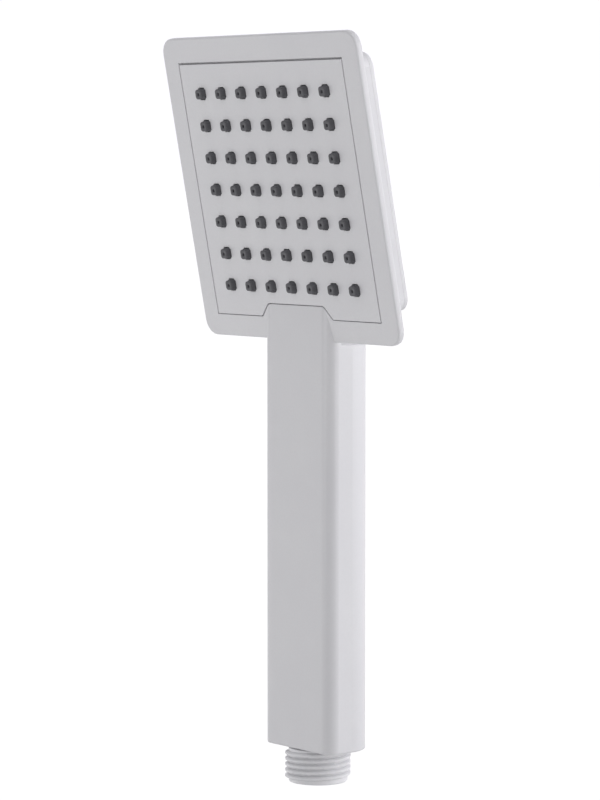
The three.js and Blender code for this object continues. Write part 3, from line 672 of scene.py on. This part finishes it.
def build_cover(made):
    """The back cover: square at its seam with the housing, rounded at its back."""
    levels = [
        (COVER_SIDE - 2 * COVER_SEAM, COVER_CORNER, COVER_FRONT),
        (COVER_SIDE, COVER_CORNER, COVER_FRONT - COVER_SEAM),
        (COVER_SIDE, COVER_CORNER, COVER_FRONT - 2 * COVER_SEAM),
    ]
    for step in range(COVER_STEPS + 1):
        angle = step / COVER_STEPS * math.pi / 2
        inset = COVER_EDGE * (1 - math.cos(angle))
        height = COVER_BACK + COVER_EDGE * (1 - math.sin(angle))
        levels.append((COVER_SIDE - 2 * inset, COVER_CORNER - inset, height))
    levels.append((COVER_SIDE - 4 * COVER_EDGE, COVER_CORNER - COVER_EDGE, COVER_BACK))
    loops = [rounded_square(side, corner, height, COVER_CORNER_STEPS) for side, corner, height in levels]
    place = head_matrix() @ Matrix.Translation((0, COVER_RISE, 0))
    add_loops(made, loops, place, cap_first=True, cap_last=True)


def mat_sheet_loops():
    """The flat sheet behind the panel, as wide as the CAD mat and trimmed at its lower end."""
    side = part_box("nozzle_mat")[1].x * 2
    loops = []
    for height in (MAT_BACK, MAT_FRONT):
        square = rounded_square(side, MAT_CORNER, height)
        loops.append([(x, y * (side - MAT_TRIM) / side + MAT_TRIM / 2, z) for x, y, z in square])
    return loops


def thread_depth(angle, height):
    """How far the thread stands out of its root at this angle and height."""
    turn = (angle - THREAD_BEARING) / (2 * math.pi)
    along = (height - THREAD_START) / THREAD_PITCH
    nearest = round(along - turn)
    position = turn + nearest
    if position < 0 or position > THREAD_TURNS:
        return 0
    away = abs(along - position) * THREAD_PITCH
    flank = THREAD_PITCH / 2 - THREAD_FLAT
    share = min(max(1 - (away - THREAD_FLAT / 2) / flank, 0), 1)
    rounded = math.sin(share * math.pi / 2) ** THREAD_FULLNESS
    fade = min(1, min(position, THREAD_TURNS - position) / THREAD_FADE_TURNS)
    return (THREAD_CREST - THREAD_ROOT) * rounded * fade


def nose_radius(height):
    """Radius under the thread: a small chamfer at the end, then a slope up to the root."""
    if height < NOSE_CHAMFER:
        return NOSE_RADIUS - NOSE_CHAMFER + height
    rise = min((height - NOSE_CHAMFER) / (THREAD_PITCH - NOSE_CHAMFER), 1)
    return NOSE_RADIUS + (THREAD_ROOT - NOSE_RADIUS) * rise


def loop_round(height, radius_at):
    """Loop round the part's axis, with its radius worked out from the angle."""
    loop = []
    for step in range(NIPPLE_STEPS):
        angle = 2 * math.pi * step / NIPPLE_STEPS
        radius = radius_at(angle)
        loop.append((radius * math.cos(angle), radius * math.sin(angle), height))
    return loop


def ring_loop(radius, height):
    return loop_round(height, lambda angle: radius)


def threaded_loop(height):
    return loop_round(height, lambda angle: nose_radius(height) + thread_depth(angle, height))


def plug_reach(angle):
    """How far the D-shaped plug reaches from the axis at this angle: flat front, rounded behind."""
    ray = Vector((math.cos(angle), math.sin(angle)))
    low, high = 0.0, PLUG_HALF_WIDTH + PLUG_BACK
    for _ in range(PLUG_HALVINGS):
        middle = (low + high) / 2
        if inside_plug(ray * middle):
            low = middle
        else:
            high = middle
    return low


def inside_plug(point):
    """Whether a point lies inside the plug's D-shaped outline."""
    side = abs(point.x)
    if side > PLUG_HALF_WIDTH or point.y < PLUG_FRONT or point.y > PLUG_BACK:
        return False
    for corner, edge, way in ((PLUG_FRONT_CORNER, PLUG_FRONT, -1), (PLUG_BACK_CORNER, PLUG_BACK, 1)):
        across = side - (PLUG_HALF_WIDTH - corner)
        along = way * (point.y - edge) + corner
        if across > 0 and along > 0 and math.hypot(across, along) > corner:
            return False
    return True


def plug_loop(height):
    return loop_round(height, plug_reach)


def neck_loop(height):
    """Round loop between thread and plug, drawn in where it would stand outside the plug."""
    return loop_round(height, lambda angle: min(THREAD_ROOT, plug_reach(angle) - NIPPLE_EDGE))


def build_nipple(made):
    """The threaded end: up its outside from the thread to the spigot, and its bore."""
    rows = round(NIPPLE_TOP / NIPPLE_ROW)
    bore = [
        ring_loop(SPIGOT_BORE, SPIGOT_TOP),
        ring_loop(SPIGOT_BORE, NIPPLE_BORE_TOP),
        ring_loop(NIPPLE_BORE, NIPPLE_BORE_TOP),
        ring_loop(NIPPLE_BORE, NIPPLE_EDGE),
        ring_loop(NIPPLE_BORE + NIPPLE_EDGE, 0),
    ]
    outside = [threaded_loop(NIPPLE_TOP * i / rows) for i in range(rows + 1)]
    neck = [neck_loop(NIPPLE_TOP), neck_loop(PLUG_BOTTOM)]
    plug = [plug_loop(PLUG_BOTTOM), plug_loop(PLUG_TOP)]
    grooved = [
        ring_loop(SPIGOT_RADIUS, PLUG_TOP),
        ring_loop(SPIGOT_RADIUS, GROOVE_BOTTOM),
        ring_loop(GROOVE_RADIUS, GROOVE_BOTTOM),
        ring_loop(GROOVE_RADIUS, GROOVE_TOP),
        ring_loop(SPIGOT_RADIUS, GROOVE_TOP),
        ring_loop(SPIGOT_RADIUS, SPIGOT_TOP),
    ]
    add_loops(made, bore + outside + neck + plug + grooved + [bore[0]])


def spring_mesh():
    """The valve spring as a swept round wire."""
    low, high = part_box("valve_spring")
    bottom, top = low.z + SPRING_WIRE, high.z - SPRING_WIRE

    def build(made):
        total = SPRING_TURNS * SPRING_STEPS
        loops = []
        for step in range(total + 1):
            angle = 2 * math.pi * step / SPRING_STEPS
            height = bottom + (top - bottom) * step / total
            loop = []
            for side in range(SPRING_SIDES):
                round_wire = 2 * math.pi * side / SPRING_SIDES
                radius = SPRING_RADIUS + SPRING_WIRE * math.cos(round_wire)
                rise = SPRING_WIRE * math.sin(round_wire)
                loop.append((radius * math.cos(angle), radius * math.sin(angle), height + rise))
            loops.append(loop)
        add_loops(made, loops, cap_first=True, cap_last=True)

    return mesh_from("valve_spring_wire", build)


def make_new_pieces():
    mat = mesh_from("nozzle_rubber", build_nozzle_mat)
    add_piece("nozzle_rubber", mat, "grey_silicone", HEAD_BODY, "nozzle_mat")
    cover = mesh_from("smooth_back_cover", build_cover)
    add_piece("smooth_back_cover", cover, "white_plastic", HEAD_BODY, "back_cover")
    nipple = mesh_from("threaded_end", build_nipple)
    end = add_piece("threaded_end", nipple, "white_plastic", HEAD_BODY, "inlet_nipple")
    # The threaded end wears a lighter copy of the white, with painted light and painted shade in the
    # thread's roots
    end.data.materials[0] = thread_white_with_painted_light()
    spring = add_piece("valve_spring_wire", spring_mesh(), "steel", HEAD_BODY, "valve_spring")
    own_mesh(spring)


make_camera()
make_world()
make_soft_boxes()
make_floor()
finish_cad_pieces()
make_new_pieces()
bpy.context.scene.view_settings.view_transform = "Standard"
